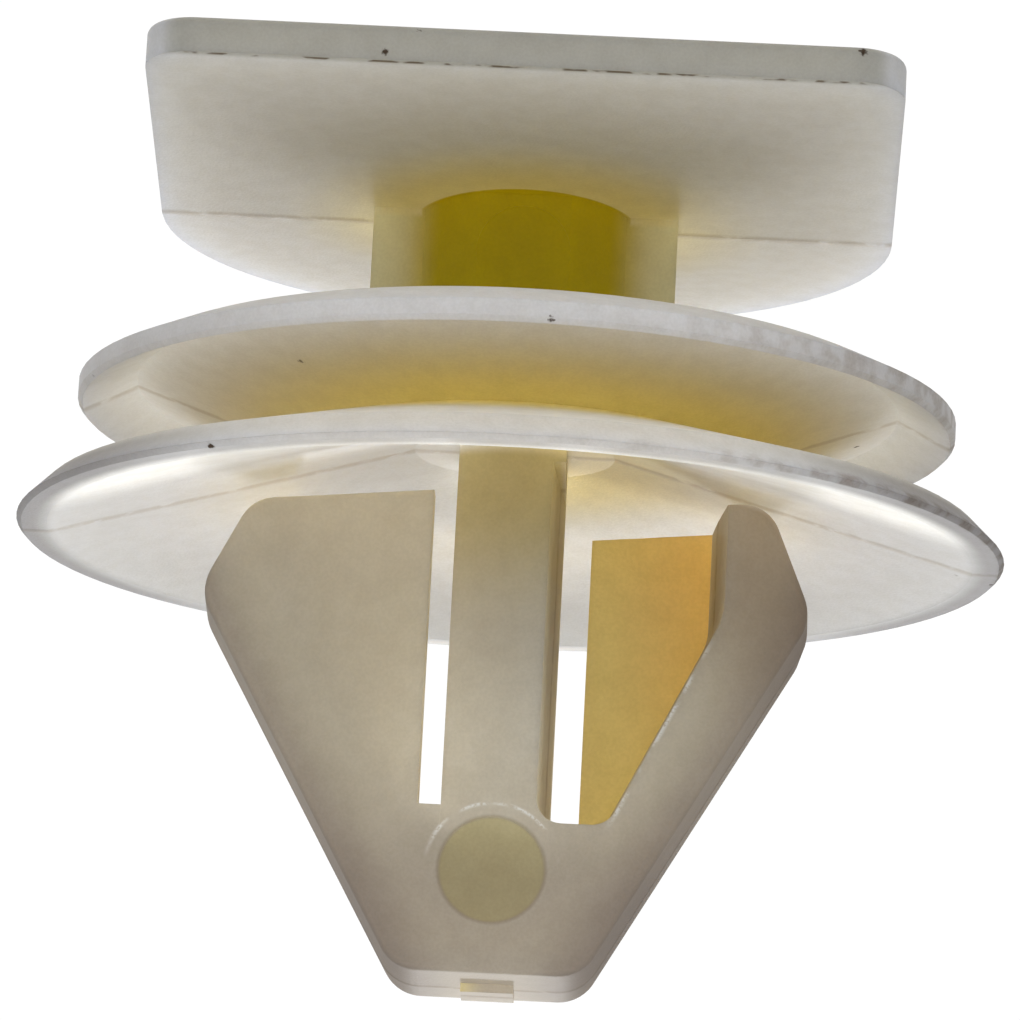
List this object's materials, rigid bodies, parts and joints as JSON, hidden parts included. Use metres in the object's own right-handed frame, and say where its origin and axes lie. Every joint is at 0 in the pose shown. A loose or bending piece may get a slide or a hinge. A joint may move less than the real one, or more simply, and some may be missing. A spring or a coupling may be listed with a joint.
{
  "type": "push-in cowl retainer",
  "caption": "Moulded push-in retainer with a U-shaped head plate, a ribbed neck, stacked round flanges and a split spring prong that snaps into a panel hole.",
  "frame": {"origin": "centre of the head's flat outer face, on the axis of the neck, flanges and prong", "axes": "+Z from the head to the tip of the prong, -Y towards the straight edge of the head, X across the legs; the mould parts on the plane Y = 0"},
  "size_m": [0.02, 0.02, 0.0174],
  "materials": {
    "natural_nylon": "natural unpigmented nylon, satin from the mould, slightly see-through, with fine parting lines and specks of dirt"
  },
  "bodies": {
    "root": {"cowl_retainer": "natural_nylon"}
  },
  "joints": []
}
